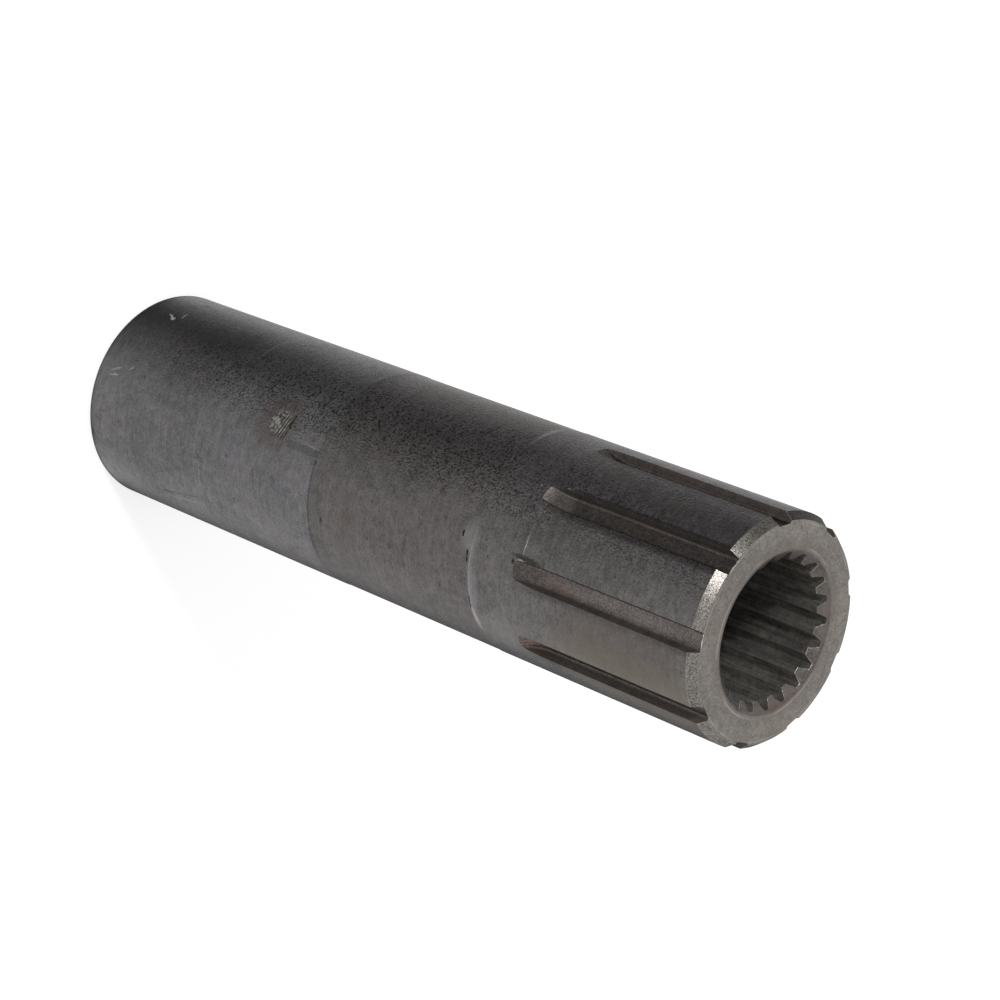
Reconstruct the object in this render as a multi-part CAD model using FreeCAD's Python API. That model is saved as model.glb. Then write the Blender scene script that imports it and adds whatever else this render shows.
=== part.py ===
# Splined sleeve: one turned steel tube that stands on its plain back end, with its axis along +Z.
# Its upper end carries nine straight grooves outside and an involute spline inside.
# The origin is the centre of the back face, and +X runs through the middle of one groove.
import FreeCAD
import Part
import math
import os

# Turned outside, in millimetres and degrees
length = 202.6
outer_dia = 53.0
waist_dia = 52.8
rear_land_length = 82.8
splined_land_length = 66.3
back_edge_break = 0.4
nose_chamfer_height = 2.0
nose_chamfer_width = 1.5

# Nine outer grooves, milled from the nose, that end in the curve of their cutter
groove_count = 9
groove_depth = 2.1
groove_floor_width = 4.0
groove_flank_angle = 17.5
groove_corner_radius = 0.5
groove_full_length = 45.2
groove_cutter_radius = 15.0

# Inner spline: 16 teeth to each inch of pitch diameter, 30 degree pressure angle, flat roots
spline_teeth = 21
teeth_per_inch = 16.0
pressure_angle = 30.0
spline_tip_addendum = 0.5
spline_root_addendum = 0.675
spline_side_clearance = 0.05
spline_length = 68.0
spline_turn = -4.6

# Bore mouths and the plain bore behind the spline
spline_mouth_dia = 36.4
spline_mouth_angle = 52.0
plain_bore_dia = 37.0
plain_bore_chamfer = 1.0
bore_shoulder_angle = 45.0

# How far a cutting shape runs past the surface that it opens
cut_margin = 1.0

INCH = 25.4

module = INCH / teeth_per_inch
pitch_radius = module * spline_teeth / 2
base_radius = pitch_radius * math.cos(math.radians(pressure_angle))
spline_tip_radius = pitch_radius - module * spline_tip_addendum
spline_root_radius = pitch_radius + module * spline_root_addendum

outer_radius = outer_dia / 2
waist_radius = waist_dia / 2
bore_radius = plain_bore_dia / 2
mouth_radius = spline_mouth_dia / 2
mouth_height = (mouth_radius - spline_tip_radius) / math.tan(math.radians(spline_mouth_angle))
shoulder_height = (bore_radius - spline_tip_radius) / math.tan(math.radians(bore_shoulder_angle))
spline_foot = length - spline_length
groove_floor_radius = outer_radius - groove_depth


def turned_blank():
    """The sleeve as it leaves the lathe: its half section, turned once round the axis."""
    section = [
        (outer_radius - back_edge_break, 0),
        (outer_radius, back_edge_break),
        (outer_radius, rear_land_length),
        (waist_radius, rear_land_length),
        (waist_radius, length - splined_land_length),
        (outer_radius, length - splined_land_length),
        (outer_radius, length - nose_chamfer_height),
        (outer_radius - nose_chamfer_width, length),
        (mouth_radius, length),
        (spline_tip_radius, length - mouth_height),
        (spline_tip_radius, spline_foot),
        (bore_radius, spline_foot - shoulder_height),
        (bore_radius, plain_bore_chamfer),
        (bore_radius + plain_bore_chamfer, 0),
    ]
    points = [FreeCAD.Vector(radius, 0, height) for radius, height in section]
    face = Part.Face(Part.makePolygon(points + points[:1]))
    return face.revolve(FreeCAD.Vector(0, 0, 0), FreeCAD.Vector(0, 0, 1), 360)


def involute(angle):
    """The involute function of an angle in radians."""
    return math.tan(angle) - angle


def space_half_angle(radius):
    """Half the angle that one space between two inner teeth spans at a radius, in radians."""
    at_pitch = math.pi / (2 * spline_teeth) + spline_side_clearance / (4 * pitch_radius)
    at_radius = math.acos(base_radius / radius)
    return at_pitch + involute(math.radians(pressure_angle)) - involute(at_radius)


def polar(radius, angle, height):
    """A point at a radius and an angle in radians round the axis."""
    return FreeCAD.Vector(radius * math.cos(angle), radius * math.sin(angle), height)


def spline_section(height):
    """The inner spline's closed outline: tip arc, flank, root arc and flank for each tooth."""
    middle_radius = (spline_tip_radius + spline_root_radius) / 2
    pitch_angle = 2 * math.pi / spline_teeth
    edges = []

    def arc(*corners):
        points = [polar(radius, angle, height) for radius, angle in corners]
        edges.append(Part.Arc(*points).toShape())

    for index in range(spline_teeth):
        centre = math.radians(spline_turn) + index * pitch_angle
        foot = space_half_angle(spline_tip_radius)
        middle = space_half_angle(middle_radius)
        root = space_half_angle(spline_root_radius)
        tip_start = centre - pitch_angle + foot
        arc((spline_tip_radius, tip_start), (spline_tip_radius, centre - pitch_angle / 2),
            (spline_tip_radius, centre - foot))
        arc((spline_tip_radius, centre - foot), (middle_radius, centre - middle),
            (spline_root_radius, centre - root))
        arc((spline_root_radius, centre - root), (spline_root_radius, centre),
            (spline_root_radius, centre + root))
        arc((spline_root_radius, centre + root), (middle_radius, centre + middle),
            (spline_tip_radius, centre + foot))
    return Part.Face(Part.Wire(edges))


def spline_broach():
    """The shape that the broach takes out, from inside the plain bore to above the nose."""
    foot = spline_foot - shoulder_height - cut_margin
    height = length + cut_margin - foot
    return spline_section(foot).extrude(FreeCAD.Vector(0, 0, height))


def groove_section(height):
    """A groove's section across the axis: a floor with rounded corners between leaning flanks."""
    lean = math.tan(math.radians(groove_flank_angle))
    top_radius = outer_radius + cut_margin
    half_floor = groove_floor_width / 2
    half_top = half_floor + (top_radius - groove_floor_radius) * lean
    setback = groove_corner_radius * math.tan(math.radians(90 - groove_flank_angle) / 2)
    along_flank = (setback * math.sin(math.radians(groove_flank_angle)),
                   setback * math.cos(math.radians(groove_flank_angle)))
    corner_depth = groove_corner_radius * (1 - math.cos(math.radians(45 - groove_flank_angle / 2)))
    corner_side = groove_corner_radius * math.sin(math.radians(45 - groove_flank_angle / 2))

    def side(sign):
        floor_end = FreeCAD.Vector(groove_floor_radius, sign * (half_floor - setback), height)
        corner = FreeCAD.Vector(groove_floor_radius + corner_depth,
                                sign * (half_floor - setback + corner_side), height)
        flank_start = FreeCAD.Vector(groove_floor_radius + along_flank[1],
                                     sign * (half_floor + along_flank[0]), height)
        flank_end = FreeCAD.Vector(top_radius, sign * half_top, height)
        return floor_end, corner, flank_start, flank_end

    left = side(-1)
    right = side(1)
    edges = [
        Part.LineSegment(left[3], left[2]).toShape(),
        Part.Arc(left[2], left[1], left[0]).toShape(),
        Part.LineSegment(left[0], right[0]).toShape(),
        Part.Arc(right[0], right[1], right[2]).toShape(),
        Part.LineSegment(right[2], right[3]).toShape(),
        Part.LineSegment(right[3], left[3]).toShape(),
    ]
    return Part.Face(Part.Wire(edges))


def groove_cut():
    """One groove's straight run and the curve in which the cutter leaves the metal."""
    full_end = length - groove_full_length
    run = groove_section(full_end).extrude(FreeCAD.Vector(0, 0, groove_full_length + cut_margin))
    clear_rise = groove_depth + cut_margin / 2
    leaving_angle = math.degrees(math.acos(1 - clear_rise / groove_cutter_radius))
    cutter_centre = FreeCAD.Vector(groove_floor_radius + groove_cutter_radius, 0, full_end)
    run_out = groove_section(full_end).revolve(cutter_centre, FreeCAD.Vector(0, -1, 0), leaving_angle)
    return run.fuse(run_out)


def splined_sleeve():
    """The finished sleeve: the turned blank, broached inside and milled outside."""
    first_groove = groove_cut()
    cuts = [spline_broach()]
    for index in range(groove_count):
        groove = first_groove.copy()
        groove.rotate(FreeCAD.Vector(0, 0, 0), FreeCAD.Vector(0, 0, 1), 360 * index / groove_count)
        cuts.append(groove)
    return turned_blank().cut(cuts)


sleeve = splined_sleeve()
print("splined_sleeve", sleeve.isValid(), len(sleeve.Solids), round(sleeve.Volume / 1000, 2), "cm3")
os.makedirs("parts", exist_ok=True)
sleeve.exportStep("parts/splined_sleeve.step")
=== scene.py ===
"""Looks of the splined sleeve: one used, turned, milled and broached steel sleeve on its back end."""
import logging
import math
from dataclasses import dataclass, field
from enum import Enum
from functools import cached_property
from typing import Callable

import bmesh
import bpy
from mathutils import Matrix, Vector


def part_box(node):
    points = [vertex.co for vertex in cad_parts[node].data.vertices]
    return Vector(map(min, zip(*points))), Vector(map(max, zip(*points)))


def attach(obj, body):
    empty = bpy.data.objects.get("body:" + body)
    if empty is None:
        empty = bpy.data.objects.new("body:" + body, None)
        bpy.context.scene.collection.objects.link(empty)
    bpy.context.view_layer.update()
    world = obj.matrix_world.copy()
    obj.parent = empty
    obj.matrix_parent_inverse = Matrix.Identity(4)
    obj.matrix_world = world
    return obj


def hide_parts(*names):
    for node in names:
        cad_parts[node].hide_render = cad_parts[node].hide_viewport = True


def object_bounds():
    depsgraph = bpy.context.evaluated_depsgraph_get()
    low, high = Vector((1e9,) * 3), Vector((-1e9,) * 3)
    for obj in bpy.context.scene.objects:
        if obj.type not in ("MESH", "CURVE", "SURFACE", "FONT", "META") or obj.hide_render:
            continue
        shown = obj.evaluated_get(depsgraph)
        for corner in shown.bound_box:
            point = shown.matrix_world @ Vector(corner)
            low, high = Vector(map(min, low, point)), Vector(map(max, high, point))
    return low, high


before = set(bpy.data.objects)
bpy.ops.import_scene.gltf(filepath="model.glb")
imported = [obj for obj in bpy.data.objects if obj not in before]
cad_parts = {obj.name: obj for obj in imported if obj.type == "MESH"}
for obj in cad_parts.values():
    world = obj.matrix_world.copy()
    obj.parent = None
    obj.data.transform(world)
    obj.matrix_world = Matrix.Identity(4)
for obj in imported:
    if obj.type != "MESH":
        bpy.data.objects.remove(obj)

CAD_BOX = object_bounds()
NODE = "splined_sleeve"
MM = 0.001

Colour = tuple[float, float, float]
Socket = bpy.types.NodeSocket
Setting = float | tuple[float, ...] | Socket

log = logging.getLogger(NODE)


class Zone(Enum):
    """The parts of the surface by the tool that made them, in the order of the material slots."""

    TURNED = 0
    FACED = 1
    NOSE_CHAMFER = 2
    BORE_MOUTH = 3
    MILLED = 4
    BROACHED = 5
    WORN_EDGE = 6
    DARKENED_FLANKS = 7


class Tint(Enum):
    """What use has left on the sleeve, by the colour that it shows; DARK also serves as painted shade."""

    CHIP = (0.88, 0.87, 0.85)
    BARE = (0.50, 0.48, 0.46)
    PALE = (0.25, 0.24, 0.24)
    BLUISH = (0.19, 0.19, 0.205)
    OLIVE = (0.15, 0.135, 0.10)
    BROWN = (0.10, 0.082, 0.070)
    RUST = (0.080, 0.049, 0.039)
    DARK = (0.018, 0.016, 0.016)


# Shaping by hand in edit mode


def only(piece: bpy.types.Object) -> None:
    """Makes one object the only selected and active one."""
    bpy.ops.object.select_all(action="DESELECT")
    piece.select_set(True)
    bpy.context.view_layer.objects.active = piece


def open_mesh(piece: bpy.types.Object) -> None:
    """Selects one object and enters edit mode."""
    only(piece)
    bpy.ops.object.mode_set(mode="EDIT")


def close_mesh() -> None:
    """Leaves edit mode."""
    bpy.ops.object.mode_set(mode="OBJECT")


def pick(piece: bpy.types.Object, kind: str, wanted: Callable[..., bool]) -> int:
    """Selects only the vertices, edges or faces that pass a test.

    Args:
        piece: the object in edit mode.
        kind: "verts", "edges" or "faces".
        wanted: says of one element whether it is wanted.

    Returns:
        How many were selected.
    """
    modes = {"verts": "VERT", "edges": "EDGE", "faces": "FACE"}
    bpy.ops.mesh.select_mode(type=modes[kind])
    bpy.ops.mesh.select_all(action="DESELECT")
    mesh = bmesh.from_edit_mesh(piece.data)
    mesh.normal_update()
    found = [element for element in getattr(mesh, kind) if wanted(element)]
    for element in found:
        element.select_set(True)
    bmesh.update_edit_mesh(piece.data)
    return len(found)


def face_outwards(piece: bpy.types.Object) -> None:
    """Merges doubled vertices and turns every face outwards."""
    bpy.ops.mesh.select_all(action="SELECT")
    bpy.ops.mesh.remove_doubles(threshold=0.001 * MM)
    bpy.ops.mesh.normals_make_consistent(inside=False)


def give_zone(piece: bpy.types.Object, zone: Zone) -> None:
    """Gives the selected faces the material slot of a zone."""
    piece.active_material_index = zone.value
    bpy.ops.object.material_slot_assign()


def cut_away(piece: bpy.types.Object, cutter: bpy.types.Object) -> None:
    """Takes the cutter's shape out of the piece and deletes the cutter."""
    modifier = piece.modifiers.new("cut", "BOOLEAN")
    modifier.operation = "DIFFERENCE"
    modifier.solver = "EXACT"
    modifier.object = cutter
    only(piece)
    bpy.ops.object.modifier_apply(modifier=modifier.name)
    bpy.data.objects.remove(cutter)


def ring_of(first: bpy.types.Object, count: int, turn: float = 0.0) -> bpy.types.Object:
    """Copies a cutter round the sleeve's axis and joins the copies.

    Args:
        first: the cutter at +X, which becomes part of the ring.
        count: how many there are in the whole ring.
        turn: how far the whole ring is turned, in radians.

    Returns:
        The joined ring.
    """
    shape = first.data.copy()
    first.data.transform(Matrix.Rotation(turn, 4, "Z"))
    copies = []
    for index in range(1, count):
        copy = first.copy()
        copy.data = shape.copy()
        copy.data.transform(Matrix.Rotation(turn + math.tau * index / count, 4, "Z"))
        bpy.context.scene.collection.objects.link(copy)
        copies.append(copy)
    only(first)
    for copy in copies:
        copy.select_set(True)
    bpy.ops.object.join()
    return first


# The sleeve


@dataclass
class TurnedBlank:
    """The sleeve as it leaves the lathe, with its lands, waist, nose chamfer and bore."""

    length: float
    outer_radius: float
    waist_radius: float = 26.4 * MM
    rear_land: float = 82.8 * MM
    splined_land: float = 66.3 * MM
    rear_step: float = 0.6 * MM
    front_step: float = 0.12 * MM
    back_break: float = 0.4 * MM
    back_steps: int = 3
    nose_height: float = 2.0 * MM
    nose_width: float = 1.5 * MM
    mouth_radius: float = 18.2 * MM
    mouth_angle: float = 52.0
    tip_radius: float = 15.875 * MM
    spline_length: float = 68.0 * MM
    bore_radius: float = 18.5 * MM
    bore_chamfer: float = 1.0 * MM
    columns: int = 252
    row_spacing: float = 6.0 * MM

    @property
    def waist_top(self) -> float:
        """The height at which the waist ends and the splined land begins."""
        return self.length - self.splined_land

    def back_corner(self) -> list[tuple[float, float]]:
        """The rounded corner between the back face and the outside."""
        turns = [math.pi / 2 * step / self.back_steps for step in range(self.back_steps + 1)]
        middle = self.outer_radius - self.back_break
        return [(middle + self.back_break * math.sin(turn), self.back_break * (1 - math.cos(turn)))
                for turn in turns]

    def corners(self) -> list[tuple[float, float]]:
        """The half section as (radius, height), up the outside and down the bore.

        Returns:
            The corners in order, with the first one repeated at the end.
        """
        mouth_depth = (self.mouth_radius - self.tip_radius) / math.tan(math.radians(self.mouth_angle))
        spline_foot = self.length - self.spline_length
        shoulder = self.bore_radius - self.tip_radius
        section = [
            *self.back_corner(),
            (self.outer_radius, self.rear_land - self.rear_step / 2),
            (self.waist_radius, self.rear_land + self.rear_step / 2),
            (self.waist_radius, self.waist_top - self.front_step / 2),
            (self.outer_radius, self.waist_top + self.front_step / 2),
            (self.outer_radius, self.length - self.nose_height),
            (self.outer_radius - self.nose_width, self.length),
            (self.mouth_radius, self.length),
            (self.tip_radius, self.length - mouth_depth),
            (self.tip_radius, spline_foot),
            (self.bore_radius, spline_foot - shoulder),
            (self.bore_radius, self.bore_chamfer),
            (self.bore_radius + self.bore_chamfer, 0.0),
        ]
        return section + section[:1]

    def rings(self) -> list[tuple[float, float]]:
        """The corners, with more rings on every long straight stretch."""
        corners = self.corners()
        rings = corners[:1]
        for (r0, z0), (r1, z1) in zip(corners, corners[1:]):
            count = max(1, round(abs(z1 - z0) / self.row_spacing))
            for step in range(1, count + 1):
                share = step / count
                rings.append((r0 + (r1 - r0) * share, z0 + (z1 - z0) * share))
        return rings

    def build(self) -> bpy.types.Object:
        """Turns the blank by extruding one circle along the half section.

        Returns:
            The closed blank.
        """
        rings = self.rings()
        bpy.ops.object.select_all(action="DESELECT")
        bpy.ops.mesh.primitive_circle_add(vertices=self.columns, radius=rings[0][0], fill_type="NOTHING",
                                          rotation=(0, 0, math.pi / self.columns))
        blank = bpy.context.active_object
        blank.name = "sleeve_finished"
        bpy.ops.object.transform_apply(location=True, rotation=True, scale=True)
        open_mesh(blank)
        bpy.ops.mesh.select_all(action="SELECT")
        for (r0, z0), (r1, z1) in zip(rings, rings[1:]):
            bpy.ops.mesh.extrude_region_move(TRANSFORM_OT_translate={"value": (0, 0, z1 - z0)})
            if r1 != r0:
                bpy.ops.transform.resize(value=(r1 / r0, r1 / r0, 1), center_override=(0, 0, z1))
        face_outwards(blank)
        close_mesh()
        return blank


@dataclass
class OuterGrooves:
    """The nine grooves milled from the nose, each ending in the curve of its cutter."""

    blank: TurnedBlank
    count: int = 9
    depth: float = 2.1 * MM
    floor_width: float = 4.0 * MM
    flank_angle: float = 17.5
    corner_radius: float = 0.5 * MM
    full_length: float = 45.2 * MM
    cutter_radius: float = 15.0 * MM
    margin: float = 1.0 * MM
    curve_steps: int = 18

    @property
    def floor_radius(self) -> float:
        """How far a groove's floor lies from the sleeve's axis."""
        return self.blank.outer_radius - self.depth

    @property
    def foot(self) -> float:
        """The height at which the cutter has left the metal."""
        run_out = math.sqrt(self.cutter_radius ** 2 - (self.cutter_radius - self.depth) ** 2)
        return self.blank.length - self.full_length - run_out

    def build_cutter(self) -> bpy.types.Object:
        """Shapes the cutter of the groove at +X from a cube.

        Returns:
            The cutter, with leaning flanks, rounded corners and a curved end.
        """
        low = self.blank.length - self.full_length
        high = self.blank.length + self.margin
        inner = self.floor_radius
        outer = self.blank.outer_radius + self.margin
        lean = 1 + 2 * (outer - inner) * math.tan(math.radians(self.flank_angle)) / self.floor_width
        near = self.margin / 10
        bpy.ops.object.select_all(action="DESELECT")
        bpy.ops.mesh.primitive_cube_add(size=1, location=((inner + outer) / 2, 0, (low + high) / 2),
                                        scale=(outer - inner, self.floor_width, high - low))
        cutter = bpy.context.active_object
        bpy.ops.object.transform_apply(location=True, rotation=True, scale=True)
        open_mesh(cutter)
        pick(cutter, "verts", lambda v: v.co.x > outer - near)
        bpy.ops.transform.resize(value=(1, lean, 1), center_override=(outer, 0, 0))
        long_edge = high - low - near
        pick(cutter, "edges",
             lambda e: max(v.co.x for v in e.verts) < inner + near and e.calc_length() > long_edge)
        bpy.ops.mesh.bevel(offset=self.corner_radius, segments=4, affect="EDGES")
        pick(cutter, "faces", lambda f: max(v.co.z for v in f.verts) < low + near)
        leave = math.acos(1 - (self.depth + self.margin / 2) / self.cutter_radius)
        bpy.ops.mesh.spin(steps=self.curve_steps, angle=leave, axis=(0, 1, 0),
                          center=(inner + self.cutter_radius, 0, low))
        face_outwards(cutter)
        close_mesh()
        return cutter

    def cut(self, piece: bpy.types.Object) -> None:
        """Mills all the grooves into the piece."""
        cut_away(piece, ring_of(self.build_cutter(), self.count))


@dataclass
class InnerSpline:
    """The involute spline broached into the bore."""

    blank: TurnedBlank
    teeth: int = 21
    teeth_per_inch: float = 16.0
    pressure_angle: float = 30.0
    root_addendum: float = 0.675
    side_clearance: float = 0.05 * MM
    turn: float = -4.6
    flank_steps: int = 4
    margin: float = 1.0 * MM

    @property
    def pitch_radius(self) -> float:
        """The radius of the spline's pitch circle."""
        return 25.4 * MM / self.teeth_per_inch * self.teeth / 2

    @property
    def root_radius(self) -> float:
        """The radius of the flat roots between the teeth."""
        return self.pitch_radius + self.root_addendum * 25.4 * MM / self.teeth_per_inch

    def half_space(self, radius: float) -> float:
        """Half the angle between two teeth at a radius, in radians."""
        pressure = math.radians(self.pressure_angle)
        at_radius = math.acos(self.pitch_radius * math.cos(pressure) / radius)
        at_pitch = math.pi / (2 * self.teeth) + self.side_clearance / (4 * self.pitch_radius)
        return at_pitch + (math.tan(pressure) - pressure) - (math.tan(at_radius) - at_radius)

    def build_cutter(self) -> bpy.types.Object:
        """Shapes the cutter of one tooth space at +X from a cube.

        Returns:
            The cutter, with involute flanks and a root that follows the root circle.
        """
        low = self.blank.length - self.blank.spline_length - 4 * self.margin
        high = self.blank.length + self.margin
        inner = self.blank.tip_radius - 0.02 * MM
        depth = self.root_radius - inner
        levels = [inner + depth * step / self.flank_steps for step in range(self.flank_steps + 1)]
        bpy.ops.object.select_all(action="DESELECT")
        middle = ((inner + self.root_radius) / 2, 0, (low + high) / 2)
        bpy.ops.mesh.primitive_cube_add(size=1, location=middle, scale=(depth, 2 * MM, high - low))
        cutter = bpy.context.active_object
        bpy.ops.object.transform_apply(location=True, rotation=True, scale=True)
        open_mesh(cutter)
        for level in levels[1:-1]:
            bpy.ops.mesh.select_all(action="SELECT")
            bpy.ops.mesh.bisect(plane_co=(level, 0, 0), plane_no=(1, 0, 0))
        bpy.ops.mesh.select_all(action="SELECT")
        bpy.ops.mesh.bisect(plane_co=(0, 0, 0), plane_no=(0, 1, 0))
        near = depth / self.flank_steps / 4
        for level in levels:
            half = self.half_space(level)
            pick(cutter, "verts", lambda v: abs(v.co.x - level) < near and abs(v.co.y) > 0.1 * MM)
            bpy.ops.transform.resize(value=(1, level * math.sin(half) / MM, 1),
                                     center_override=(level, 0, 0))
            bpy.ops.transform.translate(value=(level * (math.cos(half) - 1), 0, 0))
        face_outwards(cutter)
        close_mesh()
        return cutter

    def cut(self, piece: bpy.types.Object) -> None:
        """Broaches all the tooth spaces into the bore."""
        cut_away(piece, ring_of(self.build_cutter(), self.teeth, math.radians(self.turn)))


@dataclass(frozen=True)
class Dent:
    """A small hollow in the outside of the sleeve, placed by angle in degrees and by height."""

    angle: float
    height: float
    half_round: float
    half_up: float
    depth: float


@dataclass(frozen=True)
class JawPrint(Dent):
    """The print of a clamp's ribbed jaw, with its ribs' pitch and how far they climb in degrees."""

    pitch: float
    tilt: float


JAW = JawPrint(-25.0, 67.6 * MM, 3.0 * MM, 3.30 * MM, 0.14 * MM, pitch=0.92 * MM, tilt=-13.0)


@dataclass
class Wear:
    """What handling has pressed into the outside: the print of a clamp's jaw, pits and chips."""

    radius: float
    jaw: JawPrint = JAW
    dents: tuple[Dent, ...] = (
        Dent(1.1, 135.5 * MM, 0.75 * MM, 0.28 * MM, 0.16 * MM),
        Dent(4.2, 135.6 * MM, 0.55 * MM, 0.25 * MM, 0.14 * MM),
        Dent(-7.6, 133.2 * MM, 0.85 * MM, 0.30 * MM, 0.18 * MM),
        Dent(27.2, 136.0 * MM, 1.30 * MM, 0.22 * MM, 0.16 * MM),
        Dent(14.9, 87.4 * MM, 0.60 * MM, 0.45 * MM, 0.10 * MM),
        Dent(49.1, 65.9 * MM, 0.50 * MM, 0.40 * MM, 0.10 * MM),
        Dent(-61.6, 10.0 * MM, 0.60 * MM, 0.95 * MM, 0.12 * MM),
        Dent(-65.7, 12.9 * MM, 0.50 * MM, 0.35 * MM, 0.10 * MM),
    )

    def is_near(self, dent: Dent, place: Vector, reach: float) -> bool:
        """True for a place on the outside within the dent's box, made wider by the reach."""
        if math.hypot(place.x, place.y) < self.radius - 1 * MM:
            return False
        turn = math.remainder(math.atan2(place.y, place.x) - math.radians(dent.angle), math.tau)
        beside = abs(turn) * self.radius < dent.half_round + reach
        return beside and abs(place.z - dent.height) < dent.half_up + reach

    def split_at(self, piece: bpy.types.Object, dent: Dent, level: float, tilt: float = 0.0) -> Vector:
        """Cuts the faces round a dent along one line round the sleeve.

        Args:
            piece: the sleeve, in edit mode.
            dent: where the faces lie.
            level: the line's height at the middle of the dent.
            tilt: how far the line climbs, in degrees.

        Returns:
            The normal of the plane that the line lies in.
        """
        angle = math.radians(dent.angle)
        lean = math.radians(tilt)
        flat = math.sin(lean)
        normal = Vector((math.sin(angle) * flat, -math.cos(angle) * flat, math.cos(lean)))
        tall = Dent(dent.angle, dent.height, dent.half_round, dent.half_up + 6 * MM, 0)
        pick(piece, "faces", lambda f: self.is_near(tall, f.calc_center_median(), 1 * MM))
        bpy.ops.mesh.bisect(plane_co=(self.radius * math.cos(angle), self.radius * math.sin(angle), level),
                            plane_no=normal)
        return normal

    def press_in(self, depth: float) -> None:
        """Moves the selected vertices towards the axis."""
        share = 1 - depth / self.radius
        bpy.ops.transform.resize(value=(share, share, 1), center_override=(0, 0, 0))

    def press_jaw(self, piece: bpy.types.Object) -> None:
        """Presses the jaw's row of fine ridges into the sleeve, deepest at their upper end."""
        jaw = self.jaw
        angle = math.radians(jaw.angle)
        half_pitch = jaw.pitch / 2
        count = 2 * round(jaw.half_up / half_pitch)
        for index in range(count + 1):
            level = jaw.height + (index - count / 2) * half_pitch
            middle = Vector((self.radius * math.cos(angle), self.radius * math.sin(angle), level))
            normal = self.split_at(piece, jaw, level, jaw.tilt)
            if index % 2 == 0:
                continue

            def on_line(vertex: bmesh.types.BMVert) -> bool:
                """True for a vertex of the jaw's print on the newly cut line."""
                near_line = abs((vertex.co - middle).dot(normal)) < 0.02 * MM
                return near_line and self.is_near(jaw, vertex.co, 0.0)

            pick(piece, "verts", on_line)
            deeper = 1.0 + 0.7 * (index > count - 3) + 0.25 * math.sin(2.4 * index)
            self.press_in(jaw.depth * deeper)

    def press_dent(self, piece: bpy.types.Object, dent: Dent) -> None:
        """Presses one hollow, in three steps that grow smaller towards its middle."""
        for side in (-1.5, 1.5):
            self.split_at(piece, dent, dent.height + side * dent.half_up)
        pick(piece, "faces", lambda f: self.is_near(dent, f.calc_center_median(), 0.45 * dent.half_up))
        bpy.ops.mesh.subdivide(number_cuts=5)
        for share in (1.0, 0.7, 0.4):
            hollow = Dent(dent.angle, dent.height, dent.half_round * share, dent.half_up * share, 0)

            def inside(vertex: bmesh.types.BMVert) -> bool:
                """True for a vertex inside the hollow's ellipse."""
                if not self.is_near(hollow, vertex.co, 0.0):
                    return False
                angle = math.atan2(vertex.co.y, vertex.co.x)
                turn = math.remainder(angle - math.radians(hollow.angle), math.tau)
                across = (vertex.co.z - hollow.height) / hollow.half_up
                return math.hypot(turn * self.radius / hollow.half_round, across) < 1

            pick(piece, "verts", inside)
            self.press_in(dent.depth / 3)

    def press(self, piece: bpy.types.Object) -> None:
        """Presses all the marks into the sleeve."""
        open_mesh(piece)
        self.press_jaw(piece)
        for dent in self.dents:
            self.press_dent(piece, dent)
        face_outwards(piece)
        close_mesh()
        log.info("pressed in the jaw's ridges and %d dents", len(self.dents))


@dataclass(frozen=True)
class EdgeBreak:
    """How sharp edges are rounded that lie between two radii and two heights."""

    offset: float
    steps: int
    zone: Zone
    near: float
    far: float
    foot: float
    roof: float
    sharp_angle: float = math.radians(22.0)

    def takes(self, edge: bmesh.types.BMEdge) -> bool:
        """True for an edge that is rounded."""
        if len(edge.link_faces) != 2 or edge.calc_face_angle(0) < self.sharp_angle:
            return False
        middle = (edge.verts[0].co + edge.verts[1].co) / 2
        return self.near < math.hypot(middle.x, middle.y) < self.far and self.foot < middle.z < self.roof


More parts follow.
